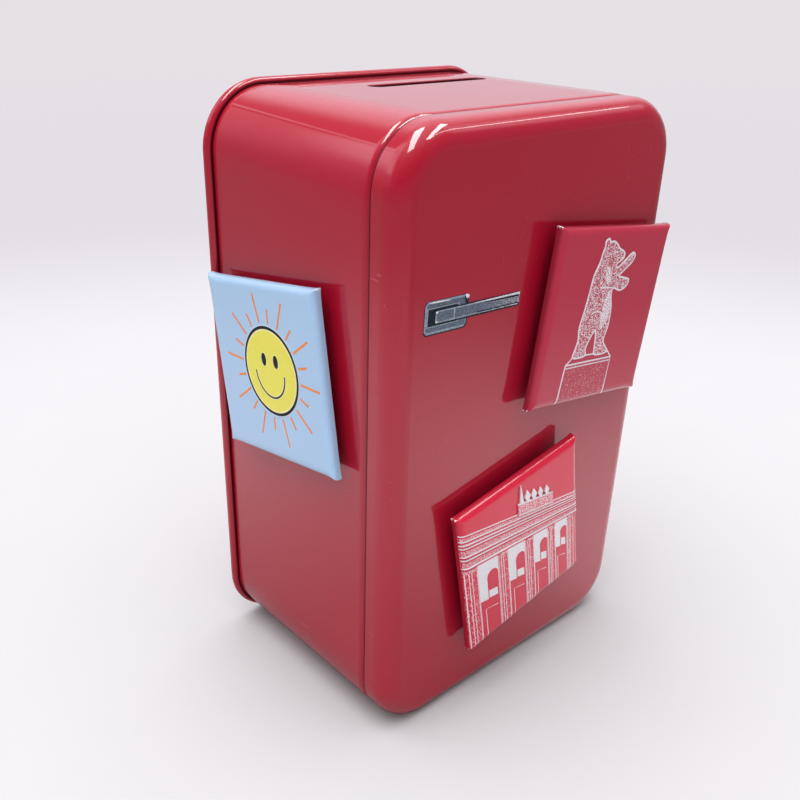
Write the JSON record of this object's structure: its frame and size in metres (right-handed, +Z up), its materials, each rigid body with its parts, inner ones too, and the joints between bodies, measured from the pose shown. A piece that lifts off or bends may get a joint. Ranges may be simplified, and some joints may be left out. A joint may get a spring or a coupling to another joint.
{
  "type": "tin money box",
  "caption": "Red lacquered tin money box shaped like a rounded refrigerator: coin slot in the top, hinged front door, rolled back seam and square pressed magnets on its side and door.",
  "frame": {"origin": "middle of the flat underside of the body, which is also the middle of the box's depth between the door joint and the back of the seam", "axes": "+X to the right seen from the front, +Y to the back, +Z up"},
  "size_m": [0.0971, 0.0711, 0.15],
  "materials": {
    "red_lacquer": "gloss red lacquer over tinplate",
    "plated_steel": "zinc plated, satin",
    "blue_print": "printed paper under clear film, pale blue with a yellow sun",
    "crimson_print": "printed paper under clear film, crimson with a white line drawing",
    "bare_tinplate": "bright tinplate",
    "ferrite": "matt dark grey"
  },
  "bodies": {
    "case": {"body_shell": "red_lacquer", "back_panel": "red_lacquer", "upper_hinge_body_leaf": "plated_steel", "upper_hinge_pin": "plated_steel", "lower_hinge_body_leaf": "plated_steel", "lower_hinge_pin": "plated_steel"},
    "door": {"door": "red_lacquer", "upper_hinge_door_leaf": "plated_steel", "lower_hinge_door_leaf": "plated_steel"},
    "sun_magnet": {"sun_magnet_cover": "blue_print", "sun_magnet_shell": "bare_tinplate", "sun_magnet_back": "bare_tinplate", "sun_magnet_disc": "ferrite"},
    "bear_magnet": {"bear_magnet_cover": "crimson_print", "bear_magnet_shell": "bare_tinplate", "bear_magnet_back": "bare_tinplate", "bear_magnet_disc": "ferrite"},
    "gate_magnet": {"gate_magnet_cover": "crimson_print", "gate_magnet_shell": "bare_tinplate", "gate_magnet_back": "bare_tinplate", "gate_magnet_disc": "ferrite"}
  },
  "joints": [
    {"name": "door_hinge", "type": "hinge", "parent": "case", "child": "door", "pos_m": [0.0463, -0.0289, 0.0735], "axis": [0, 0, 1], "range_deg": [0, 180]},
    {"name": "sun_magnet_pull", "type": "slide", "parent": "case", "child": "sun_magnet", "axis": [-1, 0, 0], "range_m": [0, 0.03]},
    {"name": "bear_magnet_pull", "type": "slide", "parent": "door", "child": "bear_magnet", "axis": [0, -1, 0], "range_m": [0, 0.03]},
    {"name": "gate_magnet_pull", "type": "slide", "parent": "door", "child": "gate_magnet", "axis": [0, -1, 0], "range_m": [0, 0.03]}
  ]
}
